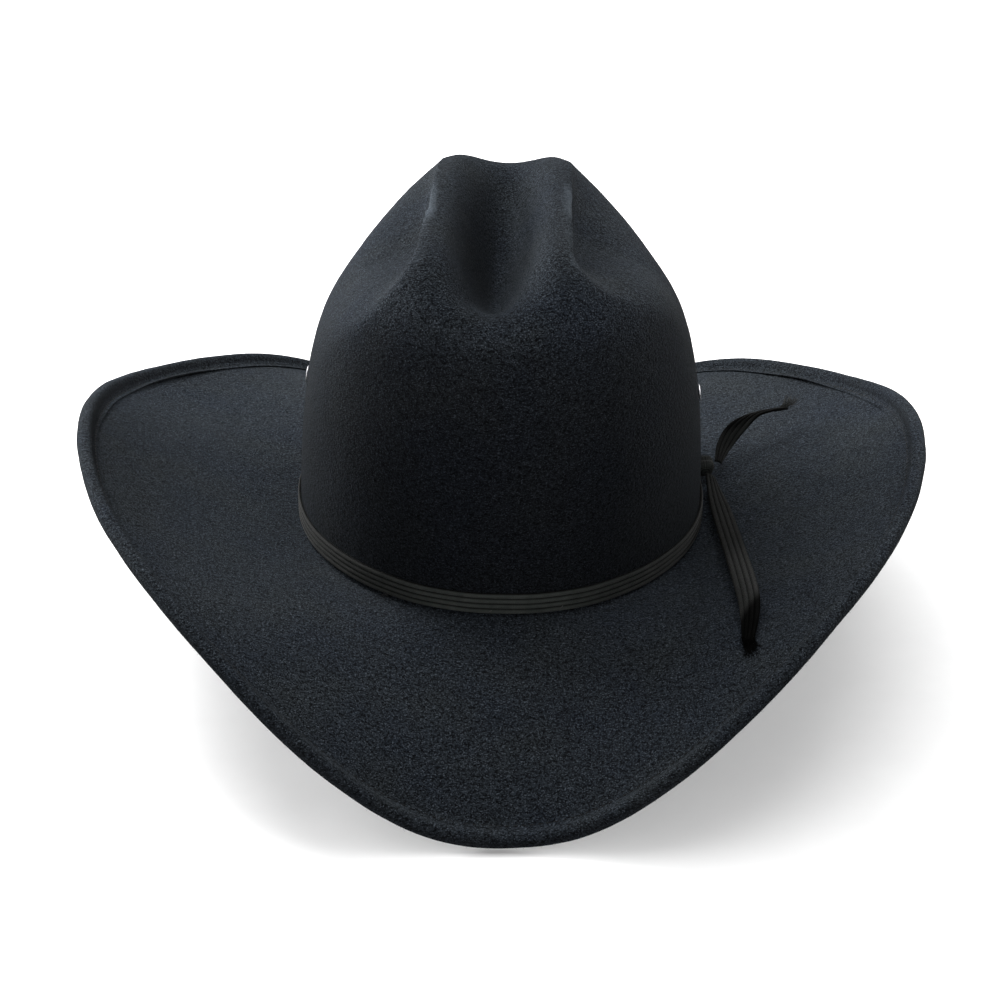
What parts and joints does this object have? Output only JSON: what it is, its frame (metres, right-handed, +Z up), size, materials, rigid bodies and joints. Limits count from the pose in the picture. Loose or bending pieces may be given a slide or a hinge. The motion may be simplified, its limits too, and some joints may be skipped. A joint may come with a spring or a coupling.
{
  "type": "cowboy hat",
  "caption": "Black felt cowboy hat with a creased crown, lifted brim sides, a ribbed ribbon band tied at the side with loose tails, vents, sweatband and lining.",
  "frame": {"origin": "on the surface that the brim's front and back dips rest on, under the middle of the hat", "axes": "+Z up through the crown, -Y towards the hat's front, +X towards the wearer's left"},
  "size_m": [0.369, 0.4033, 0.193],
  "materials": {
    "felt": "brushed wool felt, black with a navy cast",
    "ribbon": "ribbed woven ribbon",
    "thread": "twisted thread",
    "steel": "drawn wire",
    "gunmetal": "dark plated",
    "leather": "smooth black leather",
    "reed": "extruded plastic",
    "tape": "plain woven tape",
    "satin": "satin lining",
    "clear_film": "clear plastic film"
  },
  "bodies": {
    "hat": {"felt_body": "felt", "brim_edge_wire": "steel", "wire_sleeve": "gunmetal", "edge_thread": "thread", "hatband_ribbon": "ribbon", "band_knot": "ribbon", "band_tack_left": "thread", "band_tack_middle": "thread", "band_tack_right": "thread", "vent_eyelet_left": "gunmetal", "vent_eyelet_right": "gunmetal", "vent_washer_left": "gunmetal", "vent_washer_right": "gunmetal", "sweatband": "leather", "sweatband_reed": "reed", "reed_tape": "tape", "sweatband_thread": "thread", "sweatband_bow": "ribbon", "size_tab": "tape", "lining_side_band": "satin", "lining_tip": "satin", "tip_shield": "clear_film"},
    "tail_front": {"ribbon_tail_front": "ribbon"},
    "tail_back": {"ribbon_tail_back": "ribbon"}
  },
  "joints": [
    {"name": "front_tail_lift", "type": "hinge", "parent": "hat", "child": "tail_front", "pos_m": [0.0955, 0.014, 0.0588], "axis": [-1, 0, 0], "range_deg": [0, 60]},
    {"name": "back_tail_lift", "type": "hinge", "parent": "hat", "child": "tail_back", "pos_m": [0.1002, 0.023, 0.0605], "axis": [0.6, -0.8, 0], "range_deg": [0, 50]}
  ]
}
